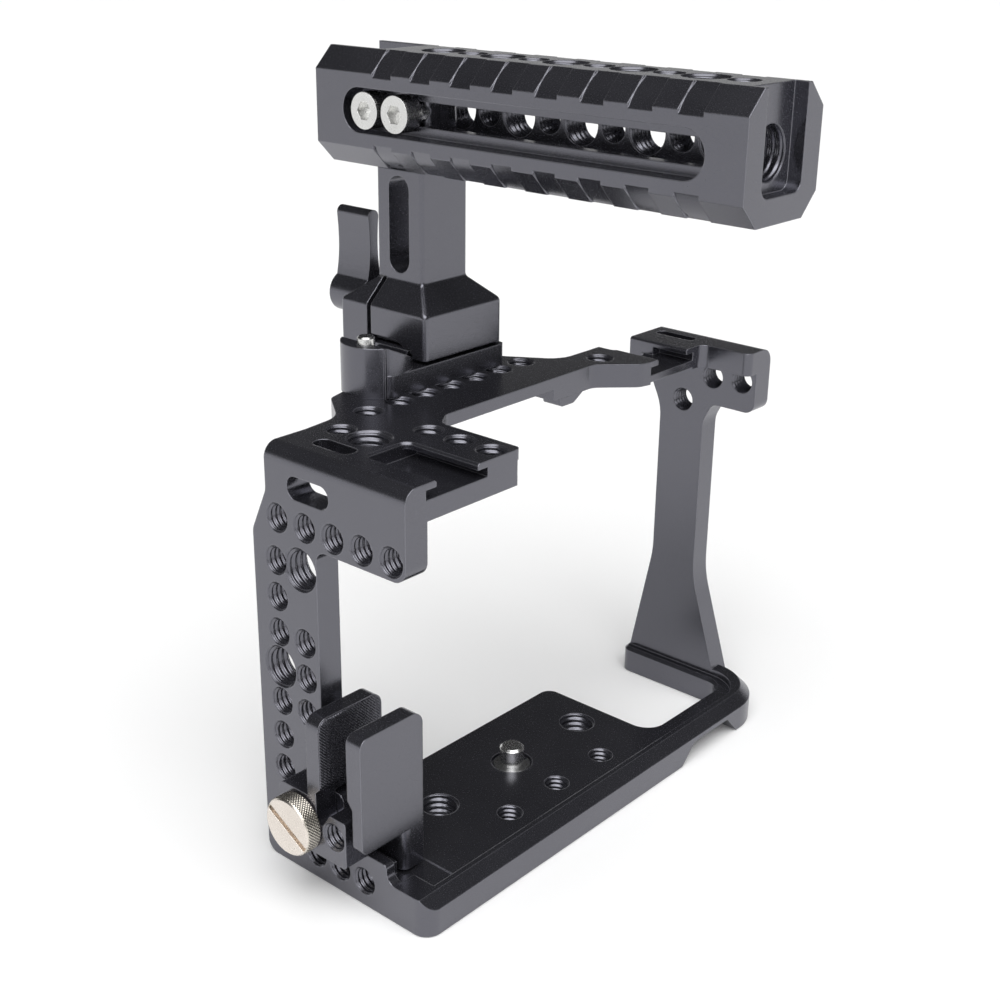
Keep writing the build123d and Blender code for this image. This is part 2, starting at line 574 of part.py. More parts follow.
def dock_base():
    """Plate with a dovetail rail, a stop lug with a ramp at its left and a thin wall at its right."""
    plan = outline(
        (DOCK_LEFT, DOCK_REAR, 1.6), (DOCK_RIGHT, DOCK_REAR, 1.5), (DOCK_RIGHT, DOCK_FRONT, 2),
        (LUG_X + 4, DOCK_FRONT, 4))
    dock = along_z(plan, CAGE_HEIGHT, DOCK_TOP)
    lug = Pos(LUG_X, LUG_Y) * Circle(LUG_R)
    tip = RAIL_LEFT + 2.3
    web = outline((DOCK_LEFT, DOCK_REAR + 0.6), (tip, DOCK_REAR + 6.0), (tip, LUG_Y + 2),
                  (RAIL_LEFT, LUG_Y + 8), (LUG_X, LUG_Y + LUG_R))
    tower = along_z(lug + web, CAGE_HEIGHT, LUG_TOP)
    ramp = outline((DOCK_LEFT + 1, LUG_TOP + 1), (DOCK_LEFT + 1, LUG_TOP), (tip - 1.2, DOCK_TOP + 1),
                   (tip + 1, DOCK_TOP - 0.6), (tip + 1, LUG_TOP + 1))
    dock += tower - along_y(ramp, DOCK_REAR - 5, DOCK_FRONT + 5)
    section = outline(
        (RAIL_REAR + RAIL_UNDERCUT, DOCK_TOP - 0.5), (RAIL_FRONT - RAIL_UNDERCUT, DOCK_TOP - 0.5),
        (RAIL_FRONT - RAIL_UNDERCUT, DOCK_TOP), (RAIL_FRONT, RAIL_TOP), (RAIL_REAR, RAIL_TOP),
        (RAIL_REAR + RAIL_UNDERCUT, DOCK_TOP))
    dock += along_x(section, RAIL_LEFT, DOCK_RIGHT - DOCK_END_WALL)
    end = outline((DOCK_REAR + 2, CAGE_HEIGHT + 1), (DOCK_FRONT - 1, CAGE_HEIGHT + 1),
                  (DOCK_FRONT - 1, LUG_TOP, 3), (DOCK_REAR + 2, LUG_TOP, 3))
    dock += along_x(end, DOCK_RIGHT - DOCK_END_WALL, DOCK_RIGHT)
    for x, y in dock_screw_places():
        dock -= rod((x, y, CAGE_HEIGHT - 1), (0, 0, 1), DOCK_SCREW_LENGTH - TOP_THICK + 1.5,
                    DOCK_SCREW_D + 2 * RUN_FIT)
    stem_d = STOP_PIN_D + 2 * RUN_FIT
    dock -= rod((STOP_PIN_X, STOP_PIN_Y, CAGE_HEIGHT), (0, 0, 1), 20, stem_d)
    dock -= rod((STOP_PIN_X, STOP_PIN_Y, CAGE_HEIGHT - 1), (0, 0, 1), STOP_SHOULDER_Z - CAGE_HEIGHT + 1,
                STOP_COLLAR_D + 2 * RUN_FIT)
    return dock


def dock_screws():
    """Countersunk screws, from under the top plate."""
    screws = []
    head = (DOCK_SCREW_HEAD_D - DOCK_SCREW_D) / 2
    base = (Align.CENTER, Align.CENTER, Align.MIN)
    for x, y in dock_screw_places():
        place = Pos(x, y, PLATE_UNDER)
        screw = place * Cone(DOCK_SCREW_HEAD_D / 2, DOCK_SCREW_D / 2, head, align=base)
        screw += place * Cylinder(DOCK_SCREW_D / 2, DOCK_SCREW_LENGTH, align=base)
        screws.append(screw - place * extrude(RegularPolygon(1.3, 6), amount=1.4))
    return Compound(screws)


def stop_pin():
    """Spring-loaded pin that stands out of the lug; its collar stops under the shoulder."""
    up = (0, 0, 1)
    collar_z = STOP_SHOULDER_Z - SEAT_GAP - STOP_COLLAR
    pin = rod((STOP_PIN_X, STOP_PIN_Y, collar_z), up, STOP_COLLAR, STOP_COLLAR_D)
    pin += rod((STOP_PIN_X, STOP_PIN_Y, collar_z), up, STOP_PIN_TOP - collar_z, STOP_PIN_D)
    rim = pin.edges().filter_by(GeomType.CIRCLE).sort_by(Axis.Z)[-1]
    return chamfer(rim, 0.4)


def stop_pin_spring():
    bottom = CAGE_HEIGHT + SEAT_GAP
    top = STOP_SHOULDER_Z - STOP_COLLAR - 2 * SEAT_GAP
    return spring((STOP_PIN_X, STOP_PIN_Y, bottom), (0, 0, 1), top - bottom, STOP_COLLAR_D - 0.4, 3.5)


# ---------------------------------------------------------------- clamp body, jaw and riser
BLOCK_UNDERSIDE = DOCK_TOP + BLOCK_GAP
COLUMN_TOP = HANDLE_UNDER - SEAT_GAP
SPLIT_REAR = JAW_REAR - JAW_SPLIT


def clamp_form():
    """Outer form of the block with its jaw: a rounded block that slopes in to the column."""
    block_depth = BLOCK_FRONT - DOCK_REAR
    column_depth = COLUMN_FRONT - COLUMN_REAR
    block = Pos(CLAMP_X, DOCK_REAR + block_depth / 2) * RectangleRounded(
        BLOCK_WIDTH, block_depth, BLOCK_CORNER)
    column = Pos(CLAMP_X, COLUMN_REAR + column_depth / 2) * RectangleRounded(
        COLUMN_WIDTH, column_depth, COLUMN_CORNER)
    form = along_z(block, BLOCK_UNDERSIDE, BLOCK_TOP)
    form += loft([Plane.XY.offset(BLOCK_TOP) * block, Plane.XY.offset(SLOPE_TOP) * column])
    form += along_z(column, SLOPE_TOP, COLUMN_TOP)
    bends = [edge for edge in form.edges()
             if abs(edge.center().Z - BLOCK_TOP) < 0.01 or abs(edge.center().Z - SLOPE_TOP) < 0.01]
    return fillet(bends, SLOPE_ROUND)


def rail_cutter():
    """Room for the dovetail rail inside the block and its jaw."""
    gap = 0.3
    top = RAIL_TOP + gap
    low = DOCK_TOP
    side = gap / math.sin(RAIL_SLOPE)
    undercut = (top - low) / math.tan(RAIL_SLOPE)
    shift = gap / math.tan(RAIL_SLOPE)
    section = outline(
        (RAIL_REAR - side - shift + undercut, low), (RAIL_REAR - side - shift, top),
        (RAIL_FRONT + side + shift, top), (RAIL_FRONT + side + shift - undercut, low))
    return along_x(section, CLAMP_X - BLOCK_WIDTH, CLAMP_X + BLOCK_WIDTH)


def guide_pin_points(y):
    return [(CLAMP_X + side * GUIDE_PIN_X, y, GUIDE_PIN_Z) for side in (-1, 1)]


def clamp_body():
    """Fixed half of the clamp, the riser with its slot and the tongue inside the handle."""
    forward = (0, 1, 0)
    body = clamp_form()
    front = box_face(CLAMP_X - BLOCK_WIDTH, CLAMP_X + BLOCK_WIDTH, 0, SLOPE_TOP + JAW_TOP_GAP)
    body -= along_y(front, SPLIT_REAR, BLOCK_FRONT + 1)
    body -= rail_cutter()
    roof = DOCK_TOP + 4.6
    relief = outline((DOCK_REAR + 3.7, DOCK_TOP), (DOCK_REAR + 4.3, DOCK_TOP + 1.9),
                     (DOCK_REAR + 9.9, roof, 4), (JAW_REAR, roof), (JAW_REAR, DOCK_TOP))
    left = CLAMP_X - BLOCK_WIDTH / 2
    body -= along_x(relief, left - 1, left + 2.2)
    slot_height = RISER_SLOT_Z1 - RISER_SLOT_Z0
    slot = Pos(RISER_SLOT_Y, (RISER_SLOT_Z0 + RISER_SLOT_Z1) / 2, 0) * Rot(0, 0, 90) * SlotOverall(
        slot_height, RISER_SLOT_WIDTH)
    body -= along_x(slot, CLAMP_X - COLUMN_WIDTH, CLAMP_X + COLUMN_WIDTH)
    tongue_width = CHANNEL_WIDTH - 2 * 0.4
    tongue = outline(
        (CLAMP_X - tongue_width / 2, TONGUE_REAR, 1.5), (CLAMP_X + tongue_width / 2, TONGUE_REAR, 1.5),
        (CLAMP_X + tongue_width / 2, TONGUE_FRONT, 1.5), (CLAMP_X - tongue_width / 2, TONGUE_FRONT, 1.5))
    body += along_z(tongue, COLUMN_TOP - 0.5, TONGUE_TOP) - along_z(
        box_face(0, 2 * CLAMP_X, COLUMN_FRONT - 0.5, TONGUE_FRONT + 1), 0, HANDLE_UNDER + SEAT_GAP)
    body -= rod((CLAMP_X, 54.0, STUD_Z), forward, 30, STUD_D + 2 * RUN_FIT)
    pocket_depth = JAW_SPRING_LENGTH - JAW_SPLIT + 2 * SEAT_GAP
    for x, _, z in guide_pin_points(0):
        body -= rod((x, SPLIT_REAR - pocket_depth, z), forward, 20, JAW_SPRING_D + 2 * RUN_FIT)
        body -= rod((x, SPLIT_REAR - pocket_depth - 5, z), forward, 6, GUIDE_PIN_D)
    for y in HANDLE_SCREW_Y:
        body -= rod((0, y, HANDLE_Z), (1, 0, 0), 2 * CLAMP_X, HANDLE_SCREW_D + 2 * RUN_FIT)
    return body


def clamp_jaw():
    """Sliding jaw in front of the split, hooked under the rail's front edge."""
    forward = (0, 1, 0)
    keep = box_face(CLAMP_X - BLOCK_WIDTH, CLAMP_X + BLOCK_WIDTH, BLOCK_UNDERSIDE, SLOPE_TOP)
    jaw = clamp_form() & along_y(keep, JAW_REAR, BLOCK_FRONT + 1)
    jaw -= rail_cutter()
    jaw -= rod((CLAMP_X, JAW_REAR - 1, STUD_Z), forward, 20, STUD_D + 2 * LOOSE_FIT)
    for x, _, z in guide_pin_points(0):
        jaw -= rod((x, JAW_REAR - 1, z), forward, 6, GUIDE_PIN_D + 2 * RUN_FIT)
    return jaw


def jaw_guide_pins():
    """Pins pressed into the block, on which the jaw slides."""
    length = JAW_SPRING_LENGTH + 5 + 4.4
    start = SPLIT_REAR - (JAW_SPRING_LENGTH - JAW_SPLIT + 2 * SEAT_GAP) - 5
    return Compound([rod(point, (0, 1, 0), length, GUIDE_PIN_D) for point in guide_pin_points(start)])


def jaw_springs():
    """Springs round the pins, which push the jaw open."""
    start = SPLIT_REAR - (JAW_SPRING_LENGTH - JAW_SPLIT) - SEAT_GAP
    coils = []
    for x, y, z in guide_pin_points(start):
        coils.append(spring((x, y, z), (0, 1, 0), JAW_SPRING_LENGTH - SEAT_GAP, JAW_SPRING_D, 3.5))
    return Compound(coils)


# ---------------------------------------------------------------- lever
COLLAR_Y = BLOCK_FRONT + SEAT_GAP
HUB_Y = COLLAR_Y + LEVER_COLLAR
HUB_FRONT = HUB_Y + HUB_LENGTH
SQUARE = 4.4                 # square end of the stud that turns the lever


def lever_stud():
    """Threaded stud: it turns with the lever, through the jaw and into the block."""
    stud = rod((CLAMP_X, 58.0, STUD_Z), (0, 1, 0), HUB_Y - 58.0, STUD_D)
    end = box_face(CLAMP_X - SQUARE / 2, CLAMP_X + SQUARE / 2, STUD_Z - SQUARE / 2, STUD_Z + SQUARE / 2)
    stud += along_y(end, HUB_Y - 0.5, HUB_FRONT - 3.4)
    return stud - rod((CLAMP_X, HUB_FRONT - 10, STUD_Z), (0, 1, 0), 20, 2.6)


def lever_collar():
    """Thrust ring between the lever and the jaw."""
    ring = rod((CLAMP_X, COLLAR_Y, STUD_Z), (0, 1, 0), LEVER_COLLAR, 2 * LEVER_COLLAR_R)
    return ring - rod((CLAMP_X, COLLAR_Y - 1, STUD_Z), (0, 1, 0), 20, STUD_D + 2 * RUN_FIT)


def clamp_lever():
    """Hub with a paddle that stands up beside the riser."""
    top = PADDLE_LENGTH
    half, waist = PADDLE_THICK / 2, PADDLE_WAIST / 2
    waist_z = PADDLE_WAIST_Z
    foot = PADDLE_FOOT / 2
    foot_z = math.sqrt(HUB_R ** 2 - foot ** 2) - 0.2
    edges = [ThreePointArc((half, top - half), (0, top), (-half, top - half)),
             Line((-foot, foot_z), (foot, foot_z))]
    for side in (-1, 1):
        edges.append(TangentArc((side * waist, waist_z), (side * foot, foot_z), tangent=(0, -1)))
        edges.append(TangentArc((side * waist, waist_z), (side * half, top - half), tangent=(0, 1)))
    paddle = make_face(edges)
    profile = Pos(CLAMP_X, STUD_Z) * (paddle + Circle(HUB_R))
    lever = along_y(profile, HUB_Y, HUB_FRONT)
    bore = box_face(CLAMP_X - SQUARE / 2 - RUN_FIT, CLAMP_X + SQUARE / 2 + RUN_FIT,
                    STUD_Z - SQUARE / 2 - RUN_FIT, STUD_Z + SQUARE / 2 + RUN_FIT)
    lever -= along_y(bore, HUB_Y - 1, HUB_FRONT - 3.2)
    return lever - rod((CLAMP_X, HUB_FRONT - 3.4, STUD_Z), (0, 1, 0), 10, CAP_SCREW_HEAD_D + 2 * RUN_FIT)


def lever_cap_screw():
    """Socket screw that holds the lever on the stud's square."""
    screw = rod((CLAMP_X, HUB_FRONT - 3.3, STUD_Z), (0, 1, 0), 2.6, CAP_SCREW_HEAD_D)
    screw += rod((CLAMP_X, HUB_FRONT - 9.5, STUD_Z), (0, 1, 0), 8, 2.6 - 2 * RUN_FIT)
    socket = Plane.XZ.offset(-(HUB_FRONT - 2.4)) * Pos(CLAMP_X, STUD_Z) * RegularPolygon(1.7, 6)
    return screw - extrude(socket, amount=4, dir=(0, 1, 0))


# ---------------------------------------------------------------- handle
LEDGE_X = CLAMP_X - HANDLE_WIDTH / 2 + SLOT_DEEP
HANDLE_LEFT = CLAMP_X - HANDLE_WIDTH / 2
HANDLE_RIGHT = CLAMP_X + HANDLE_WIDTH / 2
BACK_TRAVEL = SLOT_FRONT - HANDLE_SCREW_Y[0] - HANDLE_SCREW_HEAD_D / 2 - 0.3
FRONT_TRAVEL = HANDLE_SCREW_Y[1] - HANDLE_SCREW_HEAD_D / 2 - SLOT_REAR - 0.3


def side_slot(y0, y1, height):
    """Slot profile in (Y, Z), round at both ends, centred on the handle."""
    return Pos((y0 + y1) / 2, HANDLE_Z) * SlotOverall(y1 - y0, height)


def handle_body_profile():
    """Square with four bevels, in (X, Z)."""
    half = HANDLE_WIDTH / 2
    tall = (HANDLE_TOP - HANDLE_UNDER) / 2
    bevel = HANDLE_CHAMFER
    return Pos(CLAMP_X, HANDLE_Z) * outline(
        (-half, -tall + bevel), (-half + bevel, -tall), (half - bevel, -tall), (half, -tall + bevel),
        (half, tall - bevel), (half - bevel, tall), (-half + bevel, tall), (-half, tall - bevel))


def handle_bar():
    """Grip bar: side slot for its two screws, channel for the tongue and two rows of threads."""
    bar = along_y(handle_body_profile(), HANDLE_REAR, HANDLE_FRONT)
    ring = Pos(CLAMP_X, HANDLE_Z) * (Rectangle(40, 40) - Circle(GRIP_R))
    for i in range(GRIP_COUNT):
        front = GRIP_FIRST - i * GRIP_PITCH
        bar -= along_y(ring, front - GRIP_BAND, front)
    bar -= along_x(side_slot(SLOT_REAR, SLOT_FRONT, SLOT_HEIGHT), HANDLE_LEFT - 1, LEDGE_X)
    shank = HANDLE_SCREW_D / 2 + 0.3
    inner = side_slot(HANDLE_SCREW_Y[1] - FRONT_TRAVEL - shank, HANDLE_SCREW_Y[0] + BACK_TRAVEL + shank,
                      INNER_SLOT)
    bar -= along_x(inner, LEDGE_X - 1, CLAMP_X)
    half = CHANNEL_WIDTH / 2
    channel_rear = TONGUE_REAR - FRONT_TRAVEL - 0.3
    channel_front = TONGUE_FRONT + BACK_TRAVEL + 0.3
    channel = rounded_slot(CLAMP_X - half, CLAMP_X + half, channel_rear, channel_front, CHANNEL_CORNER)
    bar -= along_z(channel, HANDLE_UNDER - 1, CHANNEL_TOP)
    for i in range(HANDLE_HOLE_COUNT):
        cut = small_hole if i % 2 else big_hole
        y = HANDLE_HOLE_FIRST - i * HANDLE_HOLE_PITCH
        bar -= cut((CLAMP_X, y, HANDLE_TOP), (0, 0, -1), CHANNEL_ROOF + 1)
        bar -= cut((HANDLE_RIGHT, y, HANDLE_Z), (-1, 0, 0), HANDLE_RIGHT - CLAMP_X - half + 1)
    pocket_half = END_POCKET_WIDTH / 2
    pocket = outline(
        (CLAMP_X - pocket_half, END_POCKET_FLOOR, 2.5), (CLAMP_X + pocket_half, END_POCKET_FLOOR, 2.5),
        (CLAMP_X + pocket_half, HANDLE_TOP + 1), (CLAMP_X - pocket_half, HANDLE_TOP + 1))
    bar -= along_y(pocket, HANDLE_REAR - 1, HANDLE_REAR + END_POCKET_DEEP)
    bar -= along_y(pocket, HANDLE_FRONT - END_POCKET_DEEP, HANDLE_FRONT + 1)
    rear_bore = channel_rear + 0.4 - HANDLE_REAR
    front_bore = HANDLE_FRONT - channel_front + 0.4
    bar -= rod((CLAMP_X, HANDLE_REAR, HANDLE_Z), (0, 1, 0), rear_bore, M12_BORE)
    bar -= rod((CLAMP_X, HANDLE_FRONT, HANDLE_Z), (0, -1, 0), front_bore, M12_BORE)
    cut = box_face(CLAMP_X - pocket_half, CLAMP_X + pocket_half, FRONT_CUT_REAR, HANDLE_FRONT + 1)
    return bar - along_z(cut, HANDLE_TOP - FRONT_CUT_DEEP, HANDLE_TOP + 1)


def handle_screws():
    """Two socket screws in the side slot, threaded into the tongue."""
    screws = []
    for y in HANDLE_SCREW_Y:
        head_x = LEDGE_X - SEAT_GAP - HANDLE_SCREW_HEAD
        screw = rod((head_x, y, HANDLE_Z), (1, 0, 0), HANDLE_SCREW_HEAD, HANDLE_SCREW_HEAD_D)
        screw += rod((head_x, y, HANDLE_Z), (1, 0, 0), HANDLE_SCREW_HEAD + 13, HANDLE_SCREW_D)
        socket = Plane.YZ.offset(head_x) * Pos(y, HANDLE_Z) * RegularPolygon(2.3, 6)
        screws.append(screw - extrude(socket, amount=2.6, dir=(1, 0, 0)))
    return Compound(screws)


# ---------------------------------------------------------------- cable clamp
LEG_X0 = WALL + LEG_GAP
LEG_X1 = CABLE_JAW_RIGHT
LEG_X = (LEG_X0 + LEG_X1) / 2
REAR_LEG_FRONT = FRONT_JAW_Y0 - CABLE_CLOSE - CABLE_ROOM
LEG_BORE_REAR = REAR_JAW_Y0 + 0.8
LEG_PIN_REAR = LEG_BORE_REAR + CABLE_CLOSE + 0.2
BLOCK_FACE_X = -CABLE_BLOCK - SEAT_GAP
REAR_JAW_LEFT = BLOCK_FACE_X + 0.3


def cable_clamp_base():
    """Block outside the wall with the fixed jaw, and a leg inside the wall that carries the pins."""
    forward = (0, 1, 0)
    thin_y = FRONT_JAW_Y0 + FRONT_JAW_THIN
    grip = [(FRONT_JAW_Y1, CABLE_JAW_TOP), (FRONT_JAW_Y0, CABLE_JAW_TOP), (FRONT_JAW_Y0, FRONT_GRIP_Z),
            (thin_y, FRONT_GRIP_Z - FRONT_JAW_THIN)]
    profile = outline(
        (CABLE_BLOCK_REAR, CABLE_BLOCK_Z0, 1), (CABLE_BLOCK_FRONT, CABLE_BLOCK_Z0, 2),
        (CABLE_BLOCK_FRONT, CABLE_BLOCK_Z1, 2), (FRONT_JAW_Y1, CABLE_BLOCK_Z1), *grip,
        (thin_y, SCOOP_Z, 1), (SCOOP_Y0, SCOOP_Z, 1.2), (CABLE_BOSS_FRONT, CABLE_BOSS_TOP, 0.8),
        (CABLE_BLOCK_REAR, CABLE_BOSS_TOP, 0.8))
    under = THREAD_WALL_TOP + 1
    jaw_profile = outline((thin_y, under), (FRONT_JAW_Y1, under), *grip)
    form = outline(
        (BLOCK_FACE_X, 0), (CABLE_JAW_RIGHT, 0), (CABLE_JAW_RIGHT, CABLE_JAW_TOP, 3.2),
        (BLOCK_FACE_X, CABLE_JAW_TOP, 3))
    body = along_x(profile, BLOCK_FACE_X, -SEAT_GAP) + along_x(jaw_profile, BLOCK_FACE_X, CABLE_JAW_RIGHT)
    body = body & along_y(form, 0, CABLE_BLOCK_FRONT + 1)
    body += along_y(box_face(LEG_X0, LEG_X1, LEG_Z0, FRONT_GRIP_Z + 2), FRONT_JAW_Y0, FRONT_JAW_Y1)
    side = (1, 0, 0)
    body -= rod((-CABLE_BLOCK - 1, THUMB_Y, THUMB_Z), side, CABLE_BLOCK + 2, QUARTER_D + 2 * LOOSE_FIT)
    body -= small_hole((BLOCK_FACE_X, CABLE_BOSS_HOLE_Y, THUMB_Z), side, CABLE_BLOCK + 2)
    body -= rod((LEG_X, 0, CABLE_SCREW_Z), forward, 60, CABLE_SCREW_D + 2 * RUN_FIT)
    for dz in (-CABLE_PIN_OFFSET, CABLE_PIN_OFFSET):
        body -= rod((LEG_X, 0, CABLE_SCREW_Z + dz), forward, FRONT_JAW_Y1 - 1, CABLE_PIN_D)
    return body


def cable_jaw():
    """Sliding plate behind the cable, with a leg that runs on the pins inside the wall."""
    forward = (0, 1, 0)
    thin_y = REAR_JAW_Y1 - REAR_JAW_THIN
    profile = outline(
        (REAR_JAW_Y0, REAR_JAW_Z0), (thin_y, REAR_JAW_Z0), (thin_y, REAR_GRIP_Z - 2),
        (REAR_JAW_Y1, REAR_GRIP_Z), (REAR_JAW_Y1, CABLE_JAW_TOP), (REAR_JAW_Y0, CABLE_JAW_TOP))
    form = outline(
        (REAR_JAW_LEFT, REAR_JAW_Z0, 2), (CABLE_JAW_RIGHT, REAR_JAW_Z0),
        (CABLE_JAW_RIGHT, CABLE_JAW_TOP, 3.2), (REAR_JAW_LEFT, CABLE_JAW_TOP, 2.4))
    jaw = along_x(profile, REAR_JAW_LEFT, CABLE_JAW_RIGHT) & along_y(form, REAR_JAW_Y0, REAR_JAW_Y1)
    leg = outline((LEG_X0, REAR_JAW_Y0, LEG_CORNER), (LEG_X1, REAR_JAW_Y0), (LEG_X1, REAR_LEG_FRONT),
                  (LEG_X0, REAR_LEG_FRONT))
    jaw += along_z(leg, LEG_Z0, REAR_JAW_Z0 + 1)
    jaw -= rod((LEG_X, LEG_BORE_REAR, CABLE_SCREW_Z), forward, 20, CABLE_SCREW_D + 2 * RUN_FIT)
    for dz in (-CABLE_PIN_OFFSET, CABLE_PIN_OFFSET):
        jaw -= rod((LEG_X, LEG_BORE_REAR, CABLE_SCREW_Z + dz), forward, 20, CABLE_PIN_D + 2 * RUN_FIT)
    return jaw


def cable_jaw_screw():
    """Screw from the front through the fixed leg into the sliding one."""
    length = FRONT_JAW_Y1 + 1 - LEG_PIN_REAR
    screw = rod((LEG_X, LEG_PIN_REAR, CABLE_SCREW_Z), (0, 1, 0), length, CABLE_SCREW_D)
    screw += rod((LEG_X, FRONT_JAW_Y1 + SEAT_GAP, CABLE_SCREW_Z), (0, 1, 0), 2.6, CABLE_SCREW_HEAD_D)
    socket = Plane.XZ.offset(-(FRONT_JAW_Y1 + 1.2)) * Pos(LEG_X, CABLE_SCREW_Z) * RegularPolygon(1.4, 6)
    return screw - extrude(socket, amount=4, dir=(0, 1, 0))


def cable_guide_pins():
    """Two pins pressed into the fixed leg."""
    length = FRONT_JAW_Y1 - 1 - LEG_PIN_REAR
    pins = []
    for dz in (-CABLE_PIN_OFFSET, CABLE_PIN_OFFSET):
        pins.append(rod((LEG_X, LEG_PIN_REAR, CABLE_SCREW_Z + dz), (0, 1, 0), length, CABLE_PIN_D))
    return Compound(pins)


def thumb_screw():
    """Knurled, slotted screw that holds the cable clamp on the wall."""
    face_x = BLOCK_FACE_X - SEAT_GAP - THUMB_HEAD
    head = rod((face_x, THUMB_Y, THUMB_Z), (1, 0, 0), THUMB_HEAD, THUMB_HEAD_D)
    head = chamfer(head.edges().filter_by(GeomType.CIRCLE), THUMB_CHAMFER)
    groove = Pos(THUMB_Y, THUMB_Z) * Rot(0, 0, THUMB_SLOT_TURN) * Rectangle(THUMB_HEAD_D + 2, THUMB_SLOT)
    head -= along_x(groove, face_x - 1, face_x + THUMB_SLOT_DEEP)
    shank_length = CABLE_BLOCK + WALL - 0.8
    return head + rod((BLOCK_FACE_X - SEAT_GAP - 0.5, THUMB_Y, THUMB_Z), (1, 0, 0), shank_length,
                      QUARTER_D - 2 * RUN_FIT)


# ---------------------------------------------------------------- camera screw
def camera_screw():
    """Slotted screw for the camera's tripod socket, with a groove for its clip."""
    head_z = CAMERA_HEAD_POCKET - SEAT_GAP - CAMERA_HEAD
    place = (LENS_X, CAMERA_SCREW_Y, head_z)
    screw = rod(place, (0, 0, 1), CAMERA_HEAD, CAMERA_HEAD_D)
    screw = chamfer(screw.edges().filter_by(GeomType.CIRCLE).sort_by(Axis.Z)[0], 0.5)
    slot = Plane.XY.offset(head_z) * Pos(LENS_X, CAMERA_SCREW_Y) * Rectangle(CAMERA_HEAD_D + 2, 1.8)
    screw -= extrude(slot, amount=1.5, dir=(0, 0, 1))
    stud = rod((LENS_X, CAMERA_SCREW_Y, head_z + 2), (0, 0, 1), CAMERA_STUD_TOP - head_z - 2, QUARTER_D - 0.1)
    stud = chamfer(stud.edges().filter_by(GeomType.CIRCLE).sort_by(Axis.Z)[-1], 0.6)
    groove_z = SEAT_Z - CLIP_POCKET + SEAT_GAP
    groove = rod((LENS_X, CAMERA_SCREW_Y, groove_z), (0, 0, 1), CLIP_THICK + 0.1, QUARTER_D + 2)
    groove -= rod((LENS_X, CAMERA_SCREW_Y, groove_z), (0, 0, 1), CLIP_THICK + 0.1, CLIP_NECK_D)
    return screw + stud - groove


def camera_screw_clip():
    """Open ring in the screw's groove, which keeps the screw in the base."""
    z = SEAT_Z - CLIP_POCKET + SEAT_GAP + 0.05
    ring = rod((LENS_X, CAMERA_SCREW_Y, z), (0, 0, 1), CLIP_THICK, CLIP_D)
    ring -= rod((LENS_X, CAMERA_SCREW_Y, z - 1), (0, 0, 1), 4, CLIP_NECK_D + 2 * RUN_FIT)
    gap = Plane.XY.offset(z - 1) * Pos(LENS_X + CLIP_D / 2, CAMERA_SCREW_Y) * Rectangle(
        CLIP_D, CLIP_NECK_D - 1.4)
    return ring - extrude(gap, amount=4, dir=(0, 0, 1))


# ---------------------------------------------------------------- export
NODES = {
    "cage_frame": cage_frame,
    "dock_base": dock_base,
    "dock_screws": dock_screws,
    "stop_pin": stop_pin,
    "stop_pin_spring": stop_pin_spring,
    "clamp_body": clamp_body,
    "clamp_jaw": clamp_jaw,
    "jaw_guide_pins": jaw_guide_pins,
    "jaw_springs": jaw_springs,
    "lever_stud": lever_stud,
    "lever_collar": lever_collar,
    "clamp_lever": clamp_lever,
    "lever_cap_screw": lever_cap_screw,
    "handle_bar": handle_bar,
    "handle_screws": handle_screws,
    "cable_clamp_base": cable_clamp_base,
    "cable_jaw": cable_jaw,
    "cable_jaw_screw": cable_jaw_screw,
    "cable_guide_pins": cable_guide_pins,
    "thumb_screw": thumb_screw,
    "camera_screw": camera_screw,
    "camera_screw_clip": camera_screw_clip,
}

os.makedirs("parts", exist_ok=True)
for name, make in NODES.items():
    export_step(Pos(-TRIPOD_X, -TRIPOD_Y, 0) * make(), f"parts/{name}.step")
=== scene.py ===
import json
import math

import bmesh
import bpy
import numpy as np
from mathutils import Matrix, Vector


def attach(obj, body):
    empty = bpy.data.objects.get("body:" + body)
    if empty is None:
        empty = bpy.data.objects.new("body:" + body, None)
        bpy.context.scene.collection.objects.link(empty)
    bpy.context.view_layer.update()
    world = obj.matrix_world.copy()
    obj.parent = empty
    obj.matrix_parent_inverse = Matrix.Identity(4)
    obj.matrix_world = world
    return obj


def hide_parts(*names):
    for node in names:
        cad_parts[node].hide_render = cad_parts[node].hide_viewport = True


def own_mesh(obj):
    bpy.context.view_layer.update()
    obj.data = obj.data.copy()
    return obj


# Camera cage: black anodised aluminium, with the threads and knurls that the plain solids leave
# out. Metres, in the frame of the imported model: origin at the mouth of the tripod thread, +Y
# towards the lens. `at` turns millimetres from the wall's outer face (X), the base's rear face
# (Y) and the underside (Z) into that frame.

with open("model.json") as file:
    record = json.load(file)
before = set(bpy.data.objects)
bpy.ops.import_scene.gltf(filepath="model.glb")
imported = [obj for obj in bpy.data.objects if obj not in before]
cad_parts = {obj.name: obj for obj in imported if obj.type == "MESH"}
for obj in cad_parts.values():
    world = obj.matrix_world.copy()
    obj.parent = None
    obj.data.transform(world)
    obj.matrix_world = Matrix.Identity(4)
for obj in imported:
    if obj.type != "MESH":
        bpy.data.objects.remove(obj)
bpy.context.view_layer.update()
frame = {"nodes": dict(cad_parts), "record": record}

MM = 0.001
ORIGIN = np.array([60.0, 12.5, 0.0])
INWARD, BACKWARD, DOWN, UP = (1, 0, 0), (-1, 0, 0), (0, 0, -1), (0, 0, 1)
FORWARD, REARWARD = (0, 1, 0), (0, -1, 0)

CAMERA_PLACE = (-0.25547, -0.20169, 0.21375)
CAMERA_TURN = (68.2395, -0.7165, -48.7365)
CAMERA_LENS = 54.055


def at(points):
    """Millimetres of the maker's drawing to metres in the model's frame."""
    return (np.asarray(points, float) - ORIGIN) * MM


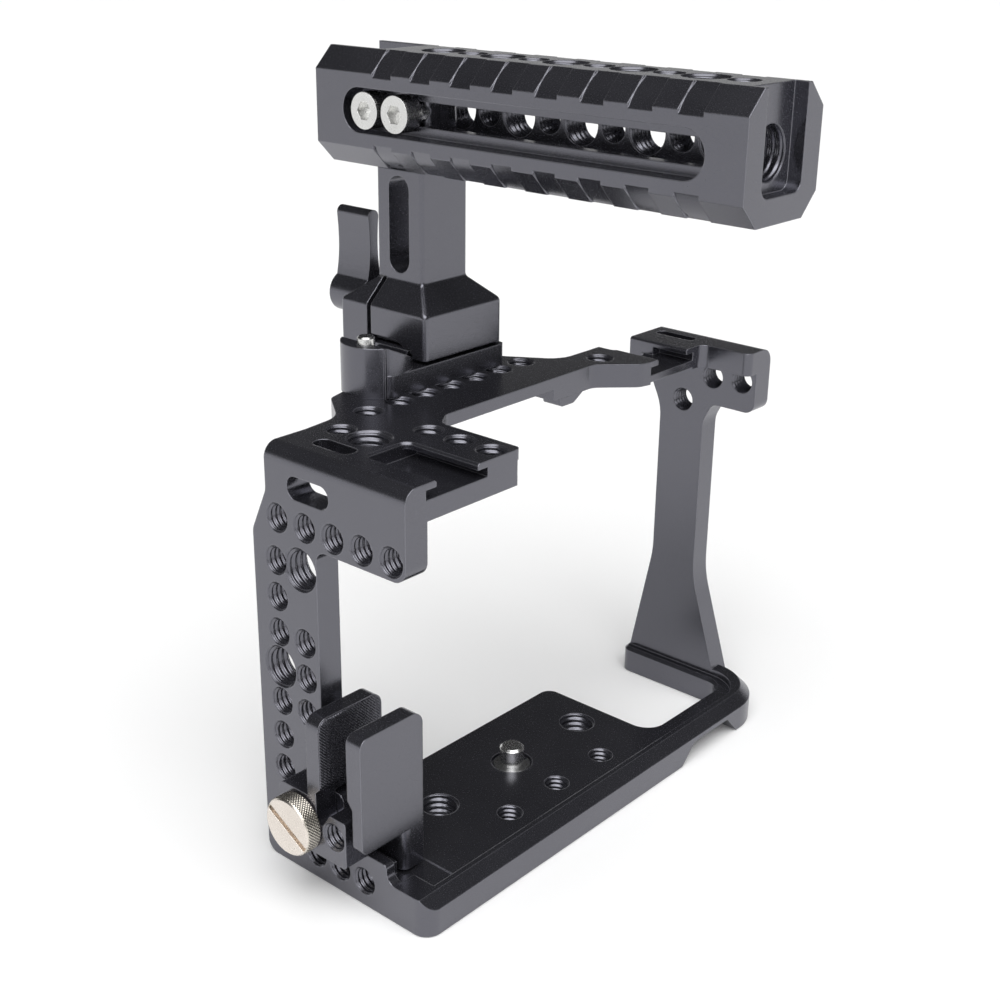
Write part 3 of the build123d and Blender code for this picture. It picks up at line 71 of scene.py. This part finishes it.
# ---------------------------------------------------------------- finishes
EDGE_SAMPLES = 6
EDGE_HIGHLIGHT_TURN = (0.75, 0.99)         # cosines between which an edge goes from the painted highlight to the plain face
FACE_EDGE = 0.0002               # radius to which a turned or plated part's edges are broken
CUT_EDGE = 0.0004                # the same on the milled parts
FINE_EDGE = 0.00003              # the same on threads and knurls
CLOUDS = 60                      # clouds of tone per metre
GRAIN_STRENGTH = 0.35


def finish(name):
    """Empty finish: its material, node tree and main shader."""
    material = bpy.data.materials.new(name)
    material.use_nodes = True
    return material, material.node_tree, material.node_tree.nodes["Principled BSDF"]


def noise(tree, place, scale, detail):
    """Noise of `scale` per metre on Object coordinates."""
    texture = tree.nodes.new("ShaderNodeTexNoise")
    texture.inputs["Scale"].default_value = scale
    texture.inputs["Detail"].default_value = detail
    tree.links.new(place.outputs["Object"], texture.inputs["Vector"])
    return texture.outputs["Fac"]


def span(tree, source, low, high, start=0.3, end=0.7):
    """Carries source from the range start to end over to low to high."""
    ranged = tree.nodes.new("ShaderNodeMapRange")
    ranged.inputs["From Min"].default_value = start
    ranged.inputs["From Max"].default_value = end
    ranged.inputs["To Min"].default_value = low
    ranged.inputs["To Max"].default_value = high
    tree.links.new(source, ranged.inputs["Value"])
    return ranged.outputs["Result"]


def two_tones(tree, source, dark, light):
    """Colour between two tones by a 0 to 1 factor."""
    ramp = tree.nodes.new("ShaderNodeValToRGB")
    for stop, position, tone in zip(ramp.color_ramp.elements, (0.3, 0.7), (dark, light)):
        stop.position = position
        stop.color = (*tone, 1)
    tree.links.new(source, ramp.inputs["Fac"])
    return ramp.outputs["Color"]


def rounded_edges_and_highlight(tree, radius):
    """Rounded normal along the edges, and a 0 to 1 mask of where it turns away from the face, along which
    a highlight is painted.
    """
    rounded = tree.nodes.new("ShaderNodeBevel")
    rounded.samples = EDGE_SAMPLES
    rounded.inputs["Radius"].default_value = radius
    face = tree.nodes.new("ShaderNodeNewGeometry")
    turn = tree.nodes.new("ShaderNodeVectorMath")
    turn.operation = "DOT_PRODUCT"
    tree.links.new(rounded.outputs["Normal"], turn.inputs[0])
    tree.links.new(face.outputs["Normal"], turn.inputs[1])
    return rounded.outputs["Normal"], span(tree, turn.outputs["Value"], 1, 0, *EDGE_HIGHLIGHT_TURN)


def metal(name, dark, light, edge, metallic, roughness, grain, depth, ior=1.5, radius=FACE_EDGE,
          sheen=(1, 1, 1)):
    """Metal with cloudy tone, uneven roughness, fine grain, and rounded edges with a painted highlight: a
    lighter tone mixed in along them.
    """
    material, tree, shader = finish(name)
    place = tree.nodes.new("ShaderNodeTexCoord")
    shader.inputs["Metallic"].default_value = metallic
    shader.inputs["IOR"].default_value = ior
    shader.inputs["Specular Tint"].default_value = (*sheen, 1)
    fine = noise(tree, place, grain, 2)
    normal, mask = rounded_edges_and_highlight(tree, radius)
    # Painted highlight: the lighter edge tone is mixed in where the rounded normal turns away from the
    # face.
    edge_highlight = tree.nodes.new("ShaderNodeMix")
    edge_highlight.data_type = "RGBA"
    edge_highlight.inputs["B"].default_value = (*edge, 1)
    tree.links.new(two_tones(tree, noise(tree, place, CLOUDS, 3), dark, light), edge_highlight.inputs["A"])
    tree.links.new(mask, edge_highlight.inputs["Factor"])
    tree.links.new(edge_highlight.outputs["Result"], shader.inputs["Base Color"])
    tree.links.new(span(tree, fine, *roughness), shader.inputs["Roughness"])
    bump = tree.nodes.new("ShaderNodeBump")
    bump.inputs["Strength"].default_value = GRAIN_STRENGTH
    bump.inputs["Distance"].default_value = depth
    tree.links.new(fine, bump.inputs["Height"])
    tree.links.new(normal, bump.inputs["Normal"])
    tree.links.new(bump.outputs["Normal"], shader.inputs["Normal"])
    return material


BLACK = {"dark": (0.011, 0.011, 0.0135), "light": (0.016, 0.016, 0.019), "metallic": 0.0,
         "roughness": (0.2, 0.28), "grain": 4200, "sheen": (0.88, 0.88, 1.0)}
# Each finish's edge tone is the colour of the highlight painted along its edges.
FINISHES = {
    "black_anodised": metal(
        "black_anodised", **BLACK, edge=(0.15, 0.15, 0.165), depth=0.00002, ior=2.2, radius=CUT_EDGE),
    "fine_anodised": metal(
        "fine_black_anodised", **BLACK, edge=BLACK["light"], depth=0.00001, ior=2.25, radius=FINE_EDGE),
    "black_steel": metal(
        "black_oxide_steel", (0.02, 0.02, 0.02), (0.035, 0.035, 0.036), (0.09, 0.09, 0.09),
        metallic=0.6, roughness=(0.3, 0.42), grain=2500, depth=0.00002),
    "stainless": metal(
        "turned_stainless", (0.62, 0.62, 0.61), (0.74, 0.74, 0.73), (0.85, 0.85, 0.84),
        metallic=1.0, roughness=(0.2, 0.3), grain=3000, depth=0.00001),
    "nickel": metal(
        "nickel_plate", (0.72, 0.66, 0.6), (0.8, 0.74, 0.68), (0.88, 0.84, 0.79),
        metallic=1.0, roughness=(0.22, 0.32), grain=2500, depth=0.000004),
    "fine_stainless": metal(
        "knurled_stainless", (0.4, 0.4, 0.4), (0.55, 0.55, 0.54), (0.6, 0.6, 0.59),
        metallic=1.0, roughness=(0.22, 0.32), grain=3000, depth=0.000005, radius=FINE_EDGE),
    "fine_nickel": metal(
        "knurled_nickel", (0.6, 0.56, 0.49), (0.72, 0.68, 0.6), (0.74, 0.7, 0.62),
        metallic=1.0, roughness=(0.22, 0.32), grain=2500, depth=0.000005, radius=FINE_EDGE),
    "spring_steel": metal(
        "spring_wire", (0.36, 0.36, 0.37), (0.48, 0.48, 0.49), (0.6, 0.6, 0.6),
        metallic=1.0, roughness=(0.25, 0.35), grain=3000, depth=0.00001)}

for part in frame["record"]["subparts"]:
    mesh = frame["nodes"][part["node"]].data
    mesh.materials.clear()
    mesh.materials.append(FINISHES[part["material_slot"]])


# ---------------------------------------------------------------- surfaces
def new_piece(name, vertices, faces, body, slot, look):
    """Puts arrays of vertices (mm) and faces into a smooth piece that moves with body."""
    mesh = bpy.data.meshes.new(name)
    mesh.from_pydata(at(vertices).tolist(), [], faces.tolist())
    mesh.update()
    mesh.polygons.foreach_set("use_smooth", np.ones(len(mesh.polygons), bool))
    piece = bpy.data.objects.new(name, mesh)
    bpy.context.scene.collection.objects.link(piece)
    mesh.materials.append(FINISHES[look])
    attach(piece, body)


def join(shells):
    """One array of vertices and one of faces from a list of them."""
    starts = np.cumsum([0] + [len(vertices) for vertices, _ in shells[:-1]])
    return (np.concatenate([vertices for vertices, _ in shells]),
            np.concatenate([faces + start for (_, faces), start in zip(shells, starts)]))


def grid_faces(rows, columns, closed):
    """Quads of a grid, which closes on itself both ways, as on a torus, if closed."""
    last = 0 if closed else 1
    i, j = np.meshgrid(np.arange(rows - last), np.arange(columns - last), indexing="ij")
    down, right = (i + 1) % rows, (j + 1) % columns
    return np.stack([i * columns + j, i * columns + right, down * columns + right, down * columns + j],
                    axis=-1).reshape(-1, 4)


def turned(mouth, axis, along, radius, angle):
    """Points at distance `along` from mouth down the axis, `radius` off it at `angle`."""
    axis = np.asarray(axis, float)
    first = np.roll(np.abs(axis), 1)
    second = np.cross(axis, first)
    spread = np.cos(angle)[..., None] * first + np.sin(angle)[..., None] * second
    return np.asarray(mouth, float) + along[..., None] * axis + radius[..., None] * spread


def closed_band(mouth, axis, along, radius, angle, back):
    """Closed band: a grid of radii, with its back at the radius `back`."""
    edge = np.full_like(radius[:1], back)
    along = np.concatenate([along, along[-1:], along[:1]])
    radius = np.concatenate([radius, edge, edge])
    angle = np.concatenate([angle, angle[-1:], angle[:1]])
    return turned(mouth, axis, along, radius, angle).reshape(-1, 3), grid_faces(*radius.shape, True)


# ---------------------------------------------------------------- threads
QUARTER = (3.175, 2.58, 1.27, 0.35)          # bore, thread's inside, pitch and countersink
THREE_EIGHTHS = (4.765, 4.0, 1.5875, 0.5)
ROD_END = (5.75, 5.35, 1.75, 0.15)
ROWS_PER_PITCH = 8
COLUMNS_PER_TURN = 36
THREAD_END = 0.1                 # thread stops short of the hole's far end
THREAD_RUN_OUT = 0.5
THREAD_FOOT = 0.02               # foot of the ridges inside the bore
THREAD_BACK = 0.004              # back of the band inside the bore


def thread_band(mouth, axis, depth, size):
    """Inside thread: r = bore - height * w, where w is 1 - |2t - 1| with its tips cut off,
    t is the fraction of (along / pitch - angle / turn), and both ends run out to nothing."""
    bore, inside, pitch, sink = size
    end = depth - THREAD_END
    along, angle = np.meshgrid(np.linspace(sink, end, int((depth - sink) / pitch * ROWS_PER_PITCH)),
                               np.linspace(0, 2 * np.pi, COLUMNS_PER_TURN, endpoint=False),
                               indexing="ij")
    turn = (along / pitch - angle / (2 * np.pi)) % 1
    crest = np.clip(1.2 * (1 - np.abs(2 * turn - 1)) - 0.1, 0, 0.95)
    run_out = np.clip(np.minimum(along - sink, end - along) / THREAD_RUN_OUT, 0, 1)
    radius = bore - THREAD_FOOT - (bore - inside) * crest * run_out
    return closed_band(mouth, axis, along, radius, angle, bore - THREAD_BACK)


def threads(name, body, holes):
    """One piece with the threads of a list of holes: mouth, axis, depth and size."""
    shells = [thread_band(*hole) for hole in holes]
    new_piece(name, *join(shells), body, "black_anodised", "fine_anodised")


def row(first, step, count):
    """Places at equal steps."""
    return [first + step * i for i in range(count)]


WALL, RIGHT, TOP, SEAT = 6.4, 140.6, 105.3, 7.5
ARM_ROW_Z = 88.8
COLUMN_ROW = row(25.6, 8.8, 7)
COLUMN_SIZES = [QUARTER] * 3 + [THREE_EIGHTHS] + [QUARTER] * 3
FRONT_COLUMN_Y, REAR_COLUMN_Y = 45.7, 37.1
RIGHT_HOLES = ((22.0, 95.6), (12.9, 96.2), (31.2, 87.3))
BLOCK_THREAD, PLATE_THREAD, ROW_THREAD = 8.2, 6.0, 3.0      # depths of the top plate's threads
TOP_HOLES = ((30.2, 9.4, BLOCK_THREAD), (30.2, 18.6, BLOCK_THREAD), (30.2, 27.8, BLOCK_THREAD),
             (17.4, 42.2, BLOCK_THREAD), (30.4, 47.0, PLATE_THREAD), (84.2, 47.3, PLATE_THREAD),
             (101.0, 35.0, PLATE_THREAD))
ARM_HOLES_X = row(40.4, 8.8, 5)
ARM_HOLES_Y = 47.3

side_holes = [((0, y, ARM_ROW_Z), INWARD, WALL, QUARTER) for y in row(9.7, 8.75, 5)]
side_holes += [((0, FRONT_COLUMN_Y, z), INWARD, WALL, size) for z, size in zip(COLUMN_ROW, COLUMN_SIZES)]
side_holes += [((0, REAR_COLUMN_Y, z), INWARD, WALL, QUARTER) for z in COLUMN_ROW[2:5]]
side_holes += [((0, 37.8, 78.4), INWARD, WALL, THREE_EIGHTHS)]
side_holes += [((0, y, 6.4), INWARD, 5.9, QUARTER) for y in row(20.0, 8, 3)]
side_holes += [((RIGHT, y, z), BACKWARD, WALL, QUARTER) for y, z in RIGHT_HOLES]
threads("side_threads", "cage", side_holes)

top_holes = [((x, y, TOP), DOWN, depth, QUARTER) for x, y, depth in TOP_HOLES]
top_holes += [((17.6, 33.5, TOP), DOWN, BLOCK_THREAD, THREE_EIGHTHS)]
top_holes += [((ARM_HOLES_X[0], ARM_HOLES_Y, TOP), DOWN, PLATE_THREAD, QUARTER)]
top_holes += [((x, ARM_HOLES_Y, TOP), DOWN, ROW_THREAD, QUARTER) for x in ARM_HOLES_X[1:]]
threads("top_threads", "cage", top_holes)

base_holes = [((x, 12.5, 0), UP, SEAT, QUARTER) for x in (42.0, 60.0, 78.0)]
base_holes += [((x, 27.5, 0), UP, SEAT, THREE_EIGHTHS) for x in (33.0, 87.0)]
threads("base_threads", "cage", base_holes)
threads("cable_clamp_thread", "cage", [((-6.1, 23.0, 19.8), INWARD, 5.9, QUARTER)])

HANDLE_X, HANDLE_SIDE, HANDLE_TOP, HANDLE_Z = 65.1, 78.65, 181.7, 168.25
HANDLE_SIZES = [THREE_EIGHTHS, QUARTER] * 5
ROD_DEPTH_REAR, ROD_DEPTH_FRONT = 7.7, 6.4

handle_holes = []
for y, size in zip(row(56.0, -9, 10), HANDLE_SIZES):
    handle_holes += [((HANDLE_X, y, HANDLE_TOP), DOWN, 7.3, size),
                     ((HANDLE_SIDE, y, HANDLE_Z), BACKWARD, 7.7, size)]
handle_holes += [((HANDLE_X, -31.9, HANDLE_Z), FORWARD, ROD_DEPTH_REAR, ROD_END),
                 ((HANDLE_X, 81.4, HANDLE_Z), REARWARD, ROD_DEPTH_FRONT, ROD_END)]
threads("handle_threads", "handle", handle_holes)

# ---------------------------------------------------------------- knurls
BAND_ROWS_PER_MM = 8
BAND_COLUMNS_PER_RIDGE = 4
BAND_FADE = 0.25                 # length over which a band's ridges start and end
BAND_BACK = 0.2
JAW_PITCH = 0.75
JAW_RIDGE = 0.4
JAW_FADE = 0.08
JAW_LIFT = 0.01
JAW_BACK = 0.15
JAW_CORNER = 3.0
JAW_GRID = (120, 110)


def knurled_band(name, body, slot, centres, length, radius, height, count):
    """Diamond knurl round a head along X: r = radius + height * |sin(u)| * |sin(v)|, where u
    and v run round the head and along it in opposite hands, `count` ridges to a turn."""
    along, angle = np.meshgrid(np.linspace(0, length, int(length * BAND_ROWS_PER_MM)),
                               np.linspace(0, 2 * np.pi, count * BAND_COLUMNS_PER_RIDGE, endpoint=False),
                               indexing="ij")
    lead = along / radius
    rise = np.abs(np.sin(count / 2 * (angle + lead)) * np.sin(count / 2 * (angle - lead)))
    ends = np.clip(np.minimum(along, length - along) / BAND_FADE, 0, 1)
    radii = radius + height * rise * ends
    shells = [closed_band(centre, INWARD, along, radii, angle, radius - BAND_BACK) for centre in centres]
    new_piece(name, *join(shells), body, slot, "fine_" + slot)


def rim_loop(rows, columns):
    """Indices round the rim of a grid, in order."""
    return np.concatenate([
        np.arange(rows) * columns, (rows - 1) * columns + np.arange(1, columns),
        np.arange(rows - 2, -1, -1) * columns + columns - 1, np.arange(columns - 2, 0, -1)])


def knurled_face(name, body, left, right, low, high, face_y, side):
    """Diamond knurl on a flat jaw, from left to right and low to high, `side` = -1 towards the
    rear: pyramids of height JAW_RIDGE |sin(a)| |sin(b)| on two diagonals JAW_PITCH apart, with
    the upper corners drawn in to the radius JAW_CORNER, and a flat back inside the jaw."""
    width, height = right - left, high - low
    u, v = np.meshgrid(*[np.linspace(0, 1, count) for count in JAW_GRID], indexing="ij")
    z = low + v * height
    drop = np.clip(z - (high - JAW_CORNER), 0, None)
    inset = JAW_CORNER - np.sqrt(np.clip(JAW_CORNER ** 2 - drop ** 2, 0, None))
    x = left + inset + u * (width - 2 * inset)
    rise = np.abs(np.sin(np.pi * (x + z) / JAW_PITCH) * np.sin(np.pi * (x - z) / JAW_PITCH))
    edge = np.minimum(np.minimum(u, 1 - u) * width, np.minimum(v, 1 - v) * height)
    ridge = JAW_RIDGE * rise * np.clip(edge / JAW_FADE, 0, 1)
    front = np.stack([x, face_y + side * (JAW_LIFT + ridge), z], axis=-1)
    back = np.stack([x, np.full_like(x, face_y - side * JAW_BACK), z], axis=-1)
    total = u.size
    quads = grid_faces(*u.shape, False)[:, [0, 3, 2, 1]]
    loop = rim_loop(*u.shape)
    following = np.roll(loop, -1)
    rim_quads = np.stack([loop, loop + total, following + total, following], axis=-1)
    faces = np.concatenate([quads, quads[:, ::-1] + total, rim_quads])
    if side > 0:
        faces = faces[:, ::-1]
    new_piece(name, np.concatenate([front.reshape(-1, 3), back.reshape(-1, 3)]), faces, body,
              "black_anodised", "fine_anodised")


knurled_band("thumb_screw_knurl", "thumb", "nickel", [(-10.3, 33.6, 19.8)], 3.8, 6.88, 0.3, 56)
knurled_band("handle_screw_knurl", "cage", "stainless", [(52.0, y, HANDLE_Z) for y in (68.7, 58.9)],
             3.6, 4.23, 0.16, 40)
knurled_face("front_jaw_knurl", "cage", -5.9, 13.2, 30.6, 47.3, 27.1, -1)
knurled_face("rear_jaw_knurl", "cable_jaw_body", -5.6, 13.2, 31.6, 47.3, 18.5, 1)


def coil(name, node, body, slot):
    """Closed, smooth copy of a standing spring's solid, which takes the part's place and moves with body."""
    mesh = frame["nodes"][node].data.copy()
    mesh.name = name
    shell = bmesh.new()
    shell.from_mesh(mesh)
    bmesh.ops.remove_doubles(shell, verts=shell.verts, dist=1e-6)
    shell.to_mesh(mesh)
    shell.free()
    mesh.polygons.foreach_set("use_smooth", np.ones(len(mesh.polygons), bool))
    mesh.materials.clear()
    mesh.materials.append(FINISHES[slot])
    piece = bpy.data.objects.new(name, mesh)
    bpy.context.scene.collection.objects.link(piece)
    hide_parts(node)
    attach(piece, body)
    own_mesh(piece)


coil("stop_pin_coil", "stop_pin_spring", "cage", "spring_steel")

# ---------------------------------------------------------------- studio
FLOOR_HALF = 4.0
FLOOR_Z = -0.0002
FLOOR_TONE = (0.985, 0.985, 0.985, 1)
FLOOR_ROUGHNESS = 0.7
HORIZON_LIGHT, ROOM_LIGHT = 1.0, 0.05
HORIZON_TOP, ROOM_BOTTOM = 0.06, 0.22        # heights between which the light falls off


def sky_panel(name, direction, strength, width):
    """Wide soft light that falls evenly from a direction; width is its angle in degrees."""
    light = bpy.data.lights.new(name, "SUN")
    light.energy = strength
    light.angle = math.radians(width)
    lamp = bpy.data.objects.new(name, light)
    bpy.context.scene.collection.objects.link(lamp)
    lamp.location = direction
    lamp.rotation_euler = Vector(direction).to_track_quat("Z", "Y").to_euler()


def room():
    """Bright horizon and a dim room above it, which the camera itself sees as plain white."""
    world = bpy.data.worlds.new("studio")
    bpy.context.scene.world = world
    world.use_nodes = True
    tree = world.node_tree
    direction = tree.nodes.new("ShaderNodeTexCoord")
    parts = tree.nodes.new("ShaderNodeSeparateXYZ")
    tree.links.new(direction.outputs["Generated"], parts.inputs["Vector"])
    strength = span(tree, parts.outputs["Z"], HORIZON_LIGHT, ROOM_LIGHT, HORIZON_TOP, ROOM_BOTTOM)
    rays = tree.nodes.new("ShaderNodeLightPath")
    seen = tree.nodes.new("ShaderNodeMath")
    seen.operation = "MAXIMUM"
    tree.links.new(strength, seen.inputs[0])
    tree.links.new(rays.outputs["Is Camera Ray"], seen.inputs[1])
    background = tree.nodes["Background"]
    background.inputs["Color"].default_value = (1, 1, 1, 1)
    tree.links.new(seen.outputs["Value"], background.inputs["Strength"])


def pale_floor():
    """Large pale floor just under the base."""
    mesh = bpy.data.meshes.new("floor")
    corners = [(x * FLOOR_HALF, y * FLOOR_HALF, FLOOR_Z) for x, y in ((-1, -1), (1, -1), (1, 1), (-1, 1))]
    mesh.from_pydata(corners, [], [(0, 1, 2, 3)])
    floor = bpy.data.objects.new("floor", mesh)
    bpy.context.scene.collection.objects.link(floor)
    material, _, shader = finish("pale_floor")
    shader.inputs["Base Color"].default_value = FLOOR_TONE
    shader.inputs["Roughness"].default_value = FLOOR_ROUGHNESS
    mesh.materials.append(material)


def viewpoint():
    """Camera at the angle from which the object is shown."""
    camera = bpy.data.cameras.new("camera")
    camera.lens = CAMERA_LENS
    camera.clip_start = 0.01
    stand = bpy.data.objects.new("camera", camera)
    stand.location = CAMERA_PLACE
    stand.rotation_euler = [math.radians(angle) for angle in CAMERA_TURN]
    bpy.context.scene.collection.objects.link(stand)
    bpy.context.scene.camera = stand


room()
pale_floor()
sky_panel("overhead", (-0.2, -0.3, 1.0), 2.75, 70)
sky_panel("left_key", (-0.9, -0.5, 0.9), 1.1, 60)
viewpoint()
bpy.context.scene.view_settings.view_transform = "Standard"
